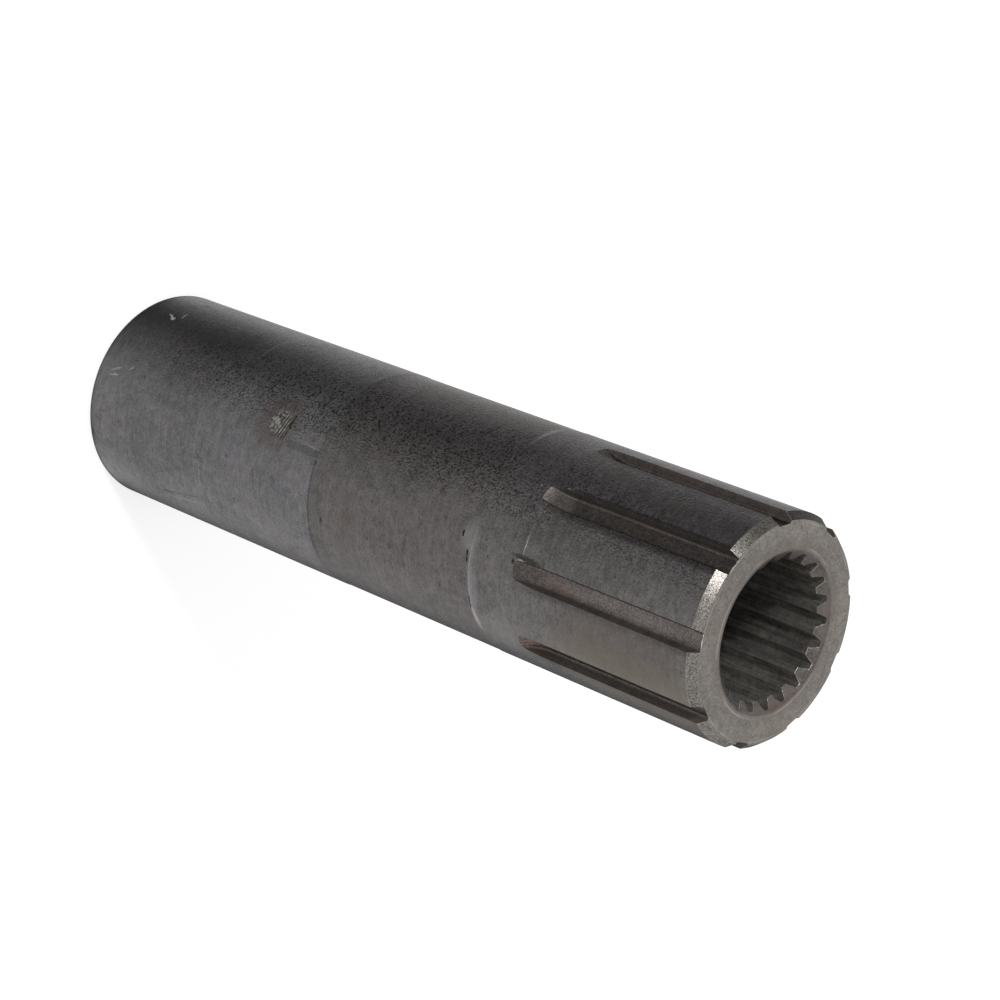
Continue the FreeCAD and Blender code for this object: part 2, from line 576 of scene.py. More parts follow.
@dataclass
class SleeveBody:
    """The whole sleeve: cut, with broken edges, and with its surfaces told apart."""

    blank: TurnedBlank
    grooves: OuterGrooves
    spline: InnerSpline
    wear: Wear
    groove_edge: float = 0.14 * MM
    tooth_edge: float = 0.07 * MM
    mouth_edge: float = 0.28 * MM
    smooth_angle: float = 38.0
    near: float = 0.1 * MM

    def zone_of(self, face: bmesh.types.BMFace) -> Zone:
        """Tells by place which tool made a face."""
        centre = face.calc_center_median()
        radius = math.hypot(centre.x, centre.y)
        top = self.blank.length
        if abs(face.normal.z) > 0.9 and (centre.z > top - self.near or centre.z < self.near):
            return Zone.FACED
        if face.normal.z > 0.5 and centre.z > top - self.blank.nose_height - 2 * self.near:
            if radius < self.blank.mouth_radius:
                return Zone.BORE_MOUTH
            if radius > self.grooves.floor_radius:
                return Zone.NOSE_CHAMFER
        if radius < self.blank.bore_radius + self.blank.bore_chamfer:
            return Zone.BROACHED
        outward = face.normal.x * centre.x + face.normal.y * centre.y
        deep = radius < self.blank.waist_radius - 0.02 * MM
        if centre.z > self.grooves.foot and (deep or outward < 0.995 * radius):
            turn = math.remainder(math.atan2(centre.y, centre.x), math.tau / self.grooves.count)
            beside = radius * abs(math.sin(turn)) > self.grooves.floor_width / 2 - self.near
            return Zone.DARKENED_FLANKS if beside else Zone.MILLED
        return Zone.TURNED

    def mark_zones(self, piece: bpy.types.Object) -> None:
        """Gives every face the material slot of its zone."""
        for _ in Zone:
            piece.data.materials.append(None)
        mesh = bmesh.new()
        mesh.from_mesh(piece.data)
        mesh.normal_update()
        for face in mesh.faces:
            face.material_index = self.zone_of(face).value
        mesh.to_mesh(piece.data)
        mesh.free()

    def break_edges(self, piece: bpy.types.Object) -> None:
        """Rounds the corners that wear: the grooves' mouths, the nose and the ends of the teeth."""
        top = self.blank.length
        rim = self.blank.mouth_radius + self.near
        reach = self.blank.outer_radius * 2
        worn = Zone.WORN_EDGE
        below_top = top - self.near / 2
        outside = EdgeBreak(self.groove_edge, 2, worn, rim, reach, self.grooves.foot - 2 * self.near, top * 2)
        inside = EdgeBreak(self.tooth_edge, 2, worn, 0.0, rim, top - 3 * MM, below_top)
        mouth = EdgeBreak(self.mouth_edge, 4, Zone.BORE_MOUTH, 0.0, rim, below_top, top * 2)

        open_mesh(piece)
        for edge_break in (outside, inside, mouth):
            count = pick(piece, "edges", edge_break.takes)
            bpy.ops.mesh.bevel(offset=edge_break.offset, segments=edge_break.steps, affect="EDGES",
                               loop_slide=False, clamp_overlap=True, material=edge_break.zone.value)
            log.info("broke %d sharp edges", count)

        def is_mouth(face: bmesh.types.BMFace) -> bool:
            """True for a rounded edge that runs along a groove."""
            below = face.calc_center_median().z < top - self.blank.nose_height - 0.3 * MM
            return below and face.material_index == worn.value

        pick(piece, "faces", is_mouth)
        give_zone(piece, Zone.TURNED)
        face_outwards(piece)
        close_mesh()

    def build(self) -> bpy.types.Object:
        """Makes the sleeve from bar to finished edges.

        Returns:
            The sleeve, shaded smooth except at its corners.
        """
        piece = self.blank.build()
        self.grooves.cut(piece)
        self.spline.cut(piece)
        self.mark_zones(piece)
        self.break_edges(piece)
        self.wear.press(piece)
        only(piece)
        bpy.ops.object.shade_smooth_by_angle(angle=math.radians(self.smooth_angle))
        weighted = piece.modifiers.new("even shading", "WEIGHTED_NORMAL")
        weighted.keep_sharp = True
        bpy.ops.object.modifier_apply(modifier=weighted.name)
        log.info("%s: %d faces", piece.name, len(piece.data.polygons))
        return piece


# Nodes


@dataclass
class Wiring:
    """Places and links the nodes of one node tree."""

    tree: bpy.types.NodeTree

    def put(self, kind: str, inputs: dict[str | int, Setting] | None = None,
            **settings: object) -> bpy.types.Node:
        """Places one node.

        Args:
            kind: the node's type.
            inputs: what each input holds, a value or another node's output.
            settings: the node's own options.

        Returns:
            The new node.
        """
        node = self.tree.nodes.new(kind)
        for name, value in settings.items():
            setattr(node, name, value)
        for key, value in (inputs or {}).items():
            self.feed(node.inputs[key], value)
        return node

    def feed(self, socket: Socket, value: Setting) -> None:
        """Links a node's output to a socket, or sets the socket to a value."""
        if isinstance(value, Socket):
            self.tree.links.new(value, socket)
        else:
            socket.default_value = value

    def maths(self, operation: str, *values: Setting, clamp: bool = False) -> Socket:
        """Works out one number from others."""
        inputs = dict(enumerate(values))
        return self.put("ShaderNodeMath", inputs, operation=operation, use_clamp=clamp).outputs[0]

    def ease(self, value: Setting, low: float, high: float, start: float = 0.0, end: float = 1.0) -> Socket:
        """Eases from start to end while the value goes from low to high."""
        inputs = {"Value": value, "From Min": low, "From Max": high, "To Min": start, "To Max": end}
        return self.put("ShaderNodeMapRange", inputs, interpolation_type="SMOOTHSTEP").outputs["Result"]

    def mix(self, share: Setting, first: Socket | Colour, second: Socket | Colour,
            blend: str = "MIX") -> Socket:
        """Mixes two colours."""
        colours = [each if isinstance(each, Socket) else (*each, 1.0) for each in (first, second)]
        sockets = {0: share, 6: colours[0], 7: colours[1]}
        return self.put("ShaderNodeMix", sockets, data_type="RGBA", blend_type=blend).outputs[2]

    def noise(self, place: Socket, scale: Setting, detail: float = 2.0, rough: float = 0.5) -> Socket:
        """Soft noise of a number of lumps to the metre."""
        inputs = {"Vector": place, "Scale": scale, "Detail": detail, "Roughness": rough}
        return self.put("ShaderNodeTexNoise", inputs).outputs["Fac"]

    def stretch(self, place: Socket, scale: Colour) -> Socket:
        """Stretches a place along the axes, so that a pattern on it is drawn out."""
        return self.put("ShaderNodeMapping", {"Vector": place, "Scale": scale}).outputs[0]

    def use(self, group: bpy.types.NodeTree, **inputs: Setting) -> bpy.types.Node:
        """Places a node group with its own values, with _ for a space in a name."""
        node = self.put("ShaderNodeGroup", node_tree=group)
        for name, value in inputs.items():
            self.feed(node.inputs[name.replace("_", " ")], value)
        return node


def new_group(name: str, inputs: dict[str, str],
              outputs: dict[str, str]) -> tuple[Wiring, bpy.types.Node, bpy.types.Node]:
    """Opens a new shader node group.

    Args:
        name: what the group is called.
        inputs: the type of each input.
        outputs: the type of each output.

    Returns:
        The wiring of the group, its input node and its output node.
    """
    tree = bpy.data.node_groups.new(name, "ShaderNodeTree")
    for direction, sockets in (("INPUT", inputs), ("OUTPUT", outputs)):
        for label, kind in sockets.items():
            tree.interface.new_socket(name=label, in_out=direction, socket_type=f"NodeSocket{kind}")
    wiring = Wiring(tree)
    return wiring, wiring.put("NodeGroupInput"), wiring.put("NodeGroupOutput")


def new_material(name: str) -> tuple[bpy.types.Material, Wiring]:
    """Opens a new material with no nodes in it."""
    material = bpy.data.materials.new(name)
    material.use_nodes = True
    material.node_tree.nodes.clear()
    return material, Wiring(material.node_tree)


@dataclass(frozen=True)
class SurfaceEffects:
    """The node groups that the finishes share."""

    place: bpy.types.NodeTree
    lines: bpy.types.NodeTree
    grain: bpy.types.NodeTree
    stain: bpy.types.NodeTree
    mark: bpy.types.NodeTree
    # painted shade along one side of every groove
    painted_shade: bpy.types.NodeTree
    ribs: bpy.types.NodeTree


def unrolled_place(radius: float) -> bpy.types.NodeTree:
    """Unrolls the sleeve: how far round it a point lies, how high, and how far from the axis, in metres."""
    wiring, given, result = new_group("unrolled place", {"Place": "Vector"},
                                      {"Around": "Float", "Up": "Float", "Radius": "Float"})
    parts = wiring.put("ShaderNodeSeparateXYZ", {0: given.outputs["Place"]})
    angle = wiring.maths("ARCTAN2", parts.outputs["Y"], parts.outputs["X"])
    squares = wiring.maths("MULTIPLY_ADD", parts.outputs["X"], parts.outputs["X"],
                           wiring.maths("MULTIPLY", parts.outputs["Y"], parts.outputs["Y"]))
    wiring.tree.links.new(wiring.maths("MULTIPLY", angle, radius), result.inputs["Around"])
    wiring.tree.links.new(parts.outputs["Z"], result.inputs["Up"])
    wiring.tree.links.new(wiring.maths("SQRT", squares), result.inputs["Radius"])
    return wiring.tree


def turning_lines() -> bpy.types.NodeTree:
    """Fine lines that a lathe tool leaves round the axis, drawn out along the surface, from 0 to 1."""
    wiring, given, result = new_group("turning lines", {"Place": "Vector", "Lines": "Float"},
                                      {"Height": "Float"})
    drawn = wiring.stretch(given.outputs["Place"], (0.03, 0.03, 1.0))
    fine = wiring.noise(drawn, given.outputs["Lines"], 3.0, 0.65)
    wiring.tree.links.new(wiring.ease(fine, 0.3, 0.7), result.inputs["Height"])
    return wiring.tree


def metal_grain() -> bpy.types.NodeTree:
    """The fine grain of dull steel, as a height from 0 to 1 and as dark pores."""
    wiring, given, result = new_group("metal grain", {"Place": "Vector", "Grains": "Float"},
                                      {"Height": "Float", "Pores": "Float"})
    fine = wiring.noise(given.outputs["Place"], given.outputs["Grains"], 2.0, 0.6)
    wiring.tree.links.new(fine, result.inputs["Height"])
    wiring.tree.links.new(wiring.ease(fine, 0.42, 0.3), result.inputs["Pores"])
    return wiring.tree


def cloudy_stain() -> bpy.types.NodeTree:
    """Soft-edged stains, with more or less of the surface covered."""
    wiring, given, result = new_group(
        "cloudy stain", {"Place": "Vector", "Clouds": "Float", "Cover": "Float"}, {"Mask": "Float"})
    cloud = wiring.noise(given.outputs["Place"], given.outputs["Clouds"], 4.0, 0.6)
    raised = wiring.maths("ADD", cloud, given.outputs["Cover"])
    wiring.tree.links.new(wiring.ease(raised, 0.85, 1.15), result.inputs["Mask"])
    return wiring.tree


def surface_mark() -> bpy.types.NodeTree:
    """One scratch, spot or patch on the unrolled surface, from a long ellipse to a soft rectangle."""
    names = ("Around", "Up", "Wander", "Centre Around", "Centre Up", "Half Length", "Half Width", "Lean",
             "Squareness", "Softness", "Strength")
    wiring, given, result = new_group("surface mark", dict.fromkeys(names, "Float"), {"Mask": "Float"})
    out = given.outputs
    around = wiring.maths("ADD", wiring.maths("SUBTRACT", out["Around"], out["Centre Around"]), out["Wander"])
    up = wiring.maths("ADD", wiring.maths("SUBTRACT", out["Up"], out["Centre Up"]), out["Wander"])
    cosine = wiring.maths("COSINE", out["Lean"])
    sine = wiring.maths("SINE", out["Lean"])
    along = wiring.maths("MULTIPLY_ADD", around, cosine, wiring.maths("MULTIPLY", up, sine))
    across = wiring.maths("SUBTRACT", wiring.maths("MULTIPLY", up, cosine),
                          wiring.maths("MULTIPLY", around, sine))
    shares = []
    for distance, half in ((along, "Half Length"), (across, "Half Width")):
        share = wiring.maths("ABSOLUTE", wiring.maths("DIVIDE", distance, out[half]))
        shares.append(wiring.maths("POWER", share, out["Squareness"]))
    beyond = wiring.maths("SUBTRACT", wiring.maths("ADD", *shares), 1.0)
    beyond = wiring.maths("DIVIDE", beyond, out["Softness"])
    mask = wiring.maths("MULTIPLY", wiring.ease(beyond, 1.0, -1.0), out["Strength"])
    wiring.tree.links.new(mask, result.inputs["Mask"])
    return wiring.tree


def groove_painted_shade(period: float, foot: float) -> bpy.types.NodeTree:
    """Painted shade along one side of every groove, thickest on its flank.

    Args:
        period: how far apart the grooves are round the sleeve.
        foot: the height at which they begin.

    Returns:
        The node group.
    """
    wiring, given, result = new_group("groove dirt", {"Place": "Vector", "Around": "Float", "Up": "Float"},
                                      {"Mask": "Float"})
    offset = wiring.maths("WRAP", given.outputs["Around"], period / 2, -period / 2)
    ragged = wiring.maths("MULTIPLY_ADD", wiring.noise(given.outputs["Place"], 500.0, 3.0), MM, -0.5 * MM)
    offset = wiring.maths("ADD", offset, ragged)
    rise = wiring.ease(offset, 0.8 * MM, 2.7 * MM)
    fall = wiring.ease(offset, 4.6 * MM, 2.9 * MM)
    along = wiring.ease(given.outputs["Up"], foot - 1 * MM, foot + 9 * MM)
    mask = wiring.maths("MULTIPLY", wiring.maths("MULTIPLY", rise, fall), along)
    wiring.tree.links.new(mask, result.inputs["Mask"])
    return wiring.tree


def jaw_ribs() -> bpy.types.NodeTree:
    """Light and dark lines where a jaw's ribs have scraped, which crumble into specks at one end."""
    wiring, given, result = new_group(
        "jaw ribs",
        {"Place": "Vector", "Around": "Float", "Up": "Float", "Tilt": "Float", "Pitch": "Float"},
        {"Light": "Float"})
    out = given.outputs
    level = wiring.maths("SUBTRACT", wiring.maths("MULTIPLY", out["Up"], wiring.maths("COSINE", out["Tilt"])),
                         wiring.maths("MULTIPLY", out["Around"], wiring.maths("SINE", out["Tilt"])))
    turns = wiring.maths("MULTIPLY", wiring.maths("DIVIDE", level, out["Pitch"]), math.tau)
    ragged = wiring.maths("MULTIPLY_ADD", wiring.noise(out["Place"], 450.0, 3.0, 0.6), 5.0, -2.5)
    specks = wiring.ease(wiring.noise(out["Place"], 1150.0, 2.0, 0.6), 0.38, 0.68)
    ribs = wiring.ease(wiring.maths("COSINE", wiring.maths("ADD", turns, ragged)), -0.8, 1.0)
    ribs = wiring.maths("MULTIPLY", ribs, wiring.maths("MULTIPLY_ADD", specks, 0.6, 0.5))
    share = wiring.ease(level, -1.6 * MM, 0.8 * MM)
    rest = wiring.maths("SUBTRACT", 1.0, share)
    light = wiring.maths("MULTIPLY_ADD", ribs, share, wiring.maths("MULTIPLY", specks, rest))
    wiring.tree.links.new(light, result.inputs["Light"])
    return wiring.tree


def surface_effects(radius: float, grooves: OuterGrooves) -> SurfaceEffects:
    """Builds each shared node group once."""
    painted_shade = groove_painted_shade(math.tau * radius / grooves.count, grooves.foot)
    return SurfaceEffects(unrolled_place(radius), turning_lines(), metal_grain(), cloudy_stain(),
                          surface_mark(), painted_shade, jaw_ribs())


# Finishes


@dataclass(frozen=True)
class SurfaceMark:
    """A scratch, spot or tinted patch on the outside.

    Its place round the sleeve is an angle in degrees. Its height and half sizes are in millimetres.
    A mark that doesn't lean lies round the sleeve, and one that leans by 90 degrees runs along it.
    """

    tint: Tint
    angle: float
    height: float
    half_length: float
    half_width: float
    lean: float = 0.0
    strength: float = 1.0
    squareness: float = 2.0
    softness: float = 0.45


MARKS = (
    SurfaceMark(Tint.OLIVE, 39.0, 184.0, 8.8, 22.0, strength=0.56, squareness=3.0, softness=1.0),
    SurfaceMark(Tint.BROWN, 19.0, 181.0, 6.0, 18.0, strength=0.45, squareness=3.0, softness=1.0),
    SurfaceMark(Tint.DARK, -33.8, 184.0, 1.3, 28.0, strength=0.34, squareness=2.4, softness=1.0),
    SurfaceMark(Tint.DARK, -46.4, 181.0, 0.55, 24.0, strength=0.60, squareness=4.0, softness=0.8),
    SurfaceMark(Tint.DARK, -58.0, 50.0, 6.5, 33.0, strength=0.22, softness=1.0),
    SurfaceMark(Tint.DARK, -67.0, 15.0, 6.5, 34.0, strength=0.38, softness=1.0),
    SurfaceMark(Tint.DARK, 2.0, 60.0, 12.0, 13.0, strength=0.09, softness=1.0),
    SurfaceMark(Tint.DARK, -30.0, 120.0, 22.0, 12.0, strength=0.11, softness=1.0),
    SurfaceMark(Tint.BROWN, -90.0, 114.0, 6.5, 24.0, strength=0.55, softness=1.0),
    SurfaceMark(Tint.PALE, -48.0, 144.0, 5.0, 7.0, strength=0.18, softness=1.0),
    SurfaceMark(Tint.PALE, 40.0, 144.5, 5.5, 7.0, strength=0.26, softness=1.0),
    SurfaceMark(Tint.BROWN, -24.5, 66.2, 6.4, 6.4, strength=0.45, squareness=3.0, softness=0.9),
    SurfaceMark(Tint.DARK, -16.6, 77.4, 1.0, 5.4, strength=0.26, squareness=6.0),
    SurfaceMark(Tint.PALE, -23.4, 79.8, 2.0, 3.0, strength=0.14, squareness=4.0, softness=0.8),
    SurfaceMark(Tint.BARE, -19.2, 80.3, 2.5, 0.22, lean=88.0, strength=0.15, softness=1.0),
    SurfaceMark(Tint.RUST, -22.8, 79.6, 0.6, 0.8, strength=0.50, softness=0.8),
    SurfaceMark(Tint.DARK, 21.0, 82.9, 16.0, 0.26, strength=0.42, squareness=3.0, softness=0.9),
    SurfaceMark(Tint.DARK, -12.5, 83.1, 0.6, 0.30, strength=0.50, softness=0.8),
    SurfaceMark(Tint.DARK, 24.0, 85.3, 17.0, 2.4, strength=0.11, squareness=3.0, softness=0.9),
    SurfaceMark(Tint.PALE, -6.5, 135.6, 3.7, 2.4, strength=0.42, softness=1.0),
    SurfaceMark(Tint.BLUISH, 19.3, 137.9, 5.2, 1.2, strength=0.50, softness=0.9),
    SurfaceMark(Tint.PALE, 17.5, 136.8, 10.5, 0.8, strength=0.34, squareness=3.0, softness=0.9),
    SurfaceMark(Tint.BARE, 17.5, 136.6, 9.5, 0.20, strength=0.20, squareness=3.0),
    SurfaceMark(Tint.BARE, 36.3, 137.2, 3.1, 0.60, lean=8.0, strength=0.32, softness=1.0),
    SurfaceMark(Tint.DARK, 26.4, 136.3, 1.9, 0.30, strength=0.95),
    SurfaceMark(Tint.DARK, 1.1, 135.5, 0.75, 0.28, strength=0.95),
    SurfaceMark(Tint.DARK, 4.2, 135.6, 0.55, 0.25, strength=0.95),
    SurfaceMark(Tint.DARK, -7.6, 133.2, 0.85, 0.30, strength=0.95),
    SurfaceMark(Tint.DARK, -3.6, 149.2, 0.60, 0.45, strength=0.90, softness=0.7),
    SurfaceMark(Tint.DARK, -6.6, 153.0, 4.0, 0.70, lean=88.0, strength=0.75, softness=0.9),
    SurfaceMark(Tint.BARE, -5.4, 151.4, 1.1, 0.16, lean=86.0, strength=0.45),
    SurfaceMark(Tint.BARE, -13.2, 151.7, 2.3, 0.15, strength=0.50),
    SurfaceMark(Tint.BARE, -26.5, 151.7, 3.6, 0.12, strength=0.07),
    SurfaceMark(Tint.BARE, -54.3, 142.6, 0.20, 0.16, strength=0.45),
    SurfaceMark(Tint.BARE, -42.8, 147.4, 0.22, 0.17, strength=0.50),
    SurfaceMark(Tint.BARE, -34.9, 151.9, 0.26, 0.18, strength=0.55),
    SurfaceMark(Tint.BARE, -31.0, 152.6, 0.18, 0.20, strength=0.50),
    SurfaceMark(Tint.CHIP, -46.4, 154.6, 0.16, 0.60, strength=0.38),
    SurfaceMark(Tint.PALE, -32.4, 150.9, 2.4, 1.1, strength=0.18, softness=1.0),
    SurfaceMark(Tint.RUST, -49.0, 150.2, 1.5, 1.6, strength=0.30, softness=1.0),
    SurfaceMark(Tint.CHIP, -62.4, 9.5, 1.05, 0.28, lean=75.0, strength=0.9, softness=0.6),
    SurfaceMark(Tint.CHIP, -60.6, 10.7, 0.75, 0.40, lean=60.0, strength=1.0, softness=0.6),
    SurfaceMark(Tint.CHIP, -60.2, 11.4, 0.55, 0.42, strength=1.0, softness=0.7),
    SurfaceMark(Tint.BARE, -65.4, 12.9, 1.2, 0.28, lean=12.0, strength=0.8, softness=0.7),
    SurfaceMark(Tint.DARK, -77.8, 9.9, 0.9, 0.9, strength=0.40, softness=0.9),
    SurfaceMark(Tint.DARK, -83.0, 11.6, 1.1, 0.8, strength=0.55, softness=0.9),
    SurfaceMark(Tint.DARK, 18.4, 1.1, 1.3, 0.5, strength=0.55, softness=0.9),
    SurfaceMark(Tint.BROWN, -13.1, 52.2, 0.7, 0.5, strength=0.60, softness=0.9),
    SurfaceMark(Tint.BARE, -16.8, 6.5, 1.7, 0.18, lean=104.5, strength=0.45),
    SurfaceMark(Tint.BARE, -20.5, 6.7, 2.2, 0.18, lean=115.0, strength=0.40),
    SurfaceMark(Tint.BARE, -23.4, 11.5, 1.0, 0.16, lean=126.0, strength=0.35),
    SurfaceMark(Tint.PALE, 21.0, 42.6, 5.0, 0.24, lean=-10.0, strength=0.32),
    SurfaceMark(Tint.BARE, -78.0, 134.6, 5.6, 0.75, lean=5.0, strength=0.27, softness=1.0),
    SurfaceMark(Tint.DARK, -63.4, 123.1, 3.6, 0.50, lean=-7.0, strength=0.48, softness=0.9),
    SurfaceMark(Tint.RUST, -23.1, 123.1, 0.9, 0.7, strength=0.75, softness=0.8),
    SurfaceMark(Tint.PALE, -70.2, 46.8, 8.1, 0.30, strength=0.45),
    SurfaceMark(Tint.DARK, 14.9, 87.4, 0.65, 0.45, strength=0.70, softness=0.8),
    SurfaceMark(Tint.DARK, 14.9, 103.3, 0.45, 0.30, strength=0.60, softness=0.8),
    SurfaceMark(Tint.DARK, 1.6, 53.0, 0.45, 0.35, strength=0.60, softness=0.8),
    SurfaceMark(Tint.DARK, 49.1, 65.9, 0.55, 0.40, strength=0.60, softness=0.8),
    SurfaceMark(Tint.DARK, 38.3, 30.7, 11.2, 0.28, lean=101.8, strength=0.38, softness=0.8),
    SurfaceMark(Tint.PALE, 41.0, 34.0, 7.5, 0.25, lean=101.0, strength=0.50, softness=0.8),
)

GROOVE_MARKS = (
    SurfaceMark(Tint.DARK, -40.0, 184.0, 4.0, 26.0, strength=0.36, squareness=6.0),
    SurfaceMark(Tint.PALE, -40.0, 153.6, 2.4, 3.0, strength=0.12, softness=0.9),
    SurfaceMark(Tint.DARK, 0.0, 152.0, 2.6, 6.0, strength=0.34, softness=1.0),
    SurfaceMark(Tint.PALE, 0.0, 181.0, 1.5, 18.0, strength=0.10, softness=1.0),
    SurfaceMark(Tint.CHIP, -40.0, 202.6, 2.4, 0.30, strength=0.80, squareness=4.0),
    SurfaceMark(Tint.CHIP, 0.0, 202.6, 2.4, 0.24, strength=0.50, squareness=4.0),
)

CHAMFER_MARKS = (
    SurfaceMark(Tint.DARK, -99.0, 201.6, 7.2, 2.5, strength=0.80, squareness=6.0, softness=0.5),
    SurfaceMark(Tint.DARK, -73.0, 201.6, 4.5, 3.0, strength=0.22, softness=1.0),
)


# Fine pits, with painted speckle of a grainy dark reflection along two bands where the steel mirrors the dark
# card.
PITS_AND_PAINTED_SPECKLE = (
    SurfaceMark(Tint.DARK, -45.0, 100.0, 8.5, 80.0, strength=0.90, squareness=2.4, softness=1.0),
    SurfaceMark(Tint.DARK, -31.0, 184.0, 4.5, 26.0, strength=0.50, squareness=2.4, softness=1.0),
)


@dataclass
class Coat:
    """One material's nodes, while its colour is built up layer by layer."""

    wiring: Wiring
    effects: SurfaceEffects
    place: Socket

    @cached_property
    def where(self) -> bpy.types.NodeOutputs:
        """How far round the sleeve a point lies, how high, and how far from the axis."""
        return self.wiring.use(self.effects.place, Place=self.place).outputs

    def wander(self, scale: float, detail: float, reach: float) -> Socket:
        """Noise that moves the edge of a mark within the reach."""
        noise = self.wiring.noise(self.place, scale, detail)
        return self.wiring.maths("MULTIPLY_ADD", noise, reach, -reach / 2)

    def mask(self, mark: SurfaceMark, wander: Socket) -> Socket:
        """Tells how strongly a mark covers a point."""
        return self.wiring.use(
            self.effects.mark, Around=self.where["Around"], Up=self.where["Up"], Wander=wander,
            Centre_Around=math.radians(mark.angle) * CAD_BOX[1].x, Centre_Up=mark.height * MM,
            Half_Length=mark.half_length * MM, Half_Width=mark.half_width * MM,
            Lean=math.radians(mark.lean), Squareness=mark.squareness, Softness=mark.softness,
            Strength=mark.strength).outputs["Mask"]

    def lay(self, marks: tuple[SurfaceMark, ...], colour: Socket) -> Socket:
        """Lays marks over the colour, one after another."""
        if not marks:
            return colour
        wander = self.wander(1400.0, 2.0, 0.8 * MM)
        for mark in marks:
            colour = self.wiring.mix(self.mask(mark, wander), colour, mark.tint.value)
        return colour

    def shade(self, colour: Socket, grey: Socket, share: Setting) -> Socket:
        """Multiplies a colour by a grey, as much as the share says."""
        tint = self.wiring.put("ShaderNodeCombineColor", {0: grey, 1: grey, 2: grey}).outputs[0]
        return self.wiring.mix(share, colour, self.wiring.mix(1.0, colour, tint, "MULTIPLY"))

    def add_painted_shade(self, colour: Socket, share: float) -> Socket:
        """Darkens one side of every groove with painted shade."""
        painted_shade = self.wiring.use(self.effects.painted_shade, Place=self.place, Around=self.where["Around"],
                               Up=self.where["Up"]).outputs["Mask"]
        return self.wiring.mix(self.wiring.maths("MULTIPLY", painted_shade, share), colour, Tint.DARK.value)


@dataclass(frozen=True)
class SteelFinish:
    """How one tool left the steel, and how use and storage have changed it."""

    name: str
    dark: Colour
    light: Colour
    stain: Colour
    stain_cover: float
    roughness: tuple[float, float]
    grain_size: float
    grain_height: float
    line_height: float = 0.0
    line_pitch: float = 0.9 * MM
    edge_tint: float = 0.60
    metallic: float = 1.0
    speckle: float = 0.0
    speckle_size: float = 0.42 * MM
    marks: tuple[SurfaceMark, ...] = ()

    def build(self, effects: SurfaceEffects) -> bpy.types.Material:
        """Builds the material.

        Args:
            effects: the shared node groups.

        Returns:
            The finished material.
        """
        material, wiring = new_material(self.name)
        place = wiring.put("ShaderNodeTexCoord").outputs["Object"]
        coat = Coat(wiring, effects, place)
        grain = wiring.use(effects.grain, Place=place, Grains=1 / self.grain_size).outputs
        lines = wiring.use(effects.lines, Place=place, Lines=1 / self.line_pitch).outputs["Height"]
        colour = self.bare_colour(coat, grain, lines)
        stain = wiring.use(effects.stain, Place=place, Clouds=90.0, Cover=self.stain_cover).outputs["Mask"]
        colour = wiring.mix(stain, colour, self.stain)
        fine = wiring.noise(place, 1 / self.speckle_size, 2.0, 0.7)
        colour = coat.shade(colour, wiring.ease(fine, 0.34, 0.62, 0.45, 1.40), self.speckle)
        height = wiring.maths("MULTIPLY", grain["Height"], self.grain_height)
        height = wiring.maths("MULTIPLY_ADD", lines, self.line_height, height)
        bump = wiring.put("ShaderNodeBump", {"Height": height, "Distance": 1.0, "Strength": 1.0})
        shader = wiring.put("ShaderNodeBsdfPrincipled", {
            "Base Color": self.dress(coat, colour),
            "Metallic": self.metallic,
            "Roughness": wiring.ease(wiring.noise(place, 240.0, 4.0, 0.6), 0.3, 0.7, *self.roughness),
            "Specular Tint": (self.edge_tint, self.edge_tint, self.edge_tint, 1.0),
            "Normal": bump.outputs["Normal"],
        })
        wiring.put("ShaderNodeOutputMaterial", {"Surface": shader.outputs["BSDF"]})
        return material

    def bare_colour(self, coat: Coat, grain: bpy.types.NodeOutputs, lines: Socket) -> Socket:
        """Mixes the bare metal's colour from clouds, mottling, grain and tool lines."""
        wiring = coat.wiring
        tone = wiring.maths("MULTIPLY", wiring.noise(coat.place, 45.0, 3.0, 0.55), 0.40)
        tone = wiring.maths("MULTIPLY_ADD", wiring.noise(coat.place, 420.0, 4.0, 0.6), 0.35, tone)
        tone = wiring.maths("MULTIPLY_ADD", lines, 0.06, tone)
        tone = wiring.maths("MULTIPLY_ADD", grain["Height"], 0.30, tone)
        bare = wiring.mix(wiring.ease(tone, 0.38, 0.70), self.dark, self.light)
        return wiring.mix(wiring.maths("MULTIPLY", grain["Pores"], 0.2), bare, Tint.DARK.value)

    def dress(self, coat: Coat, colour: Socket) -> Socket:
        """Adds what is found only on this kind of surface. The plain finish adds only its marks."""
        return coat.lay(self.marks, colour)


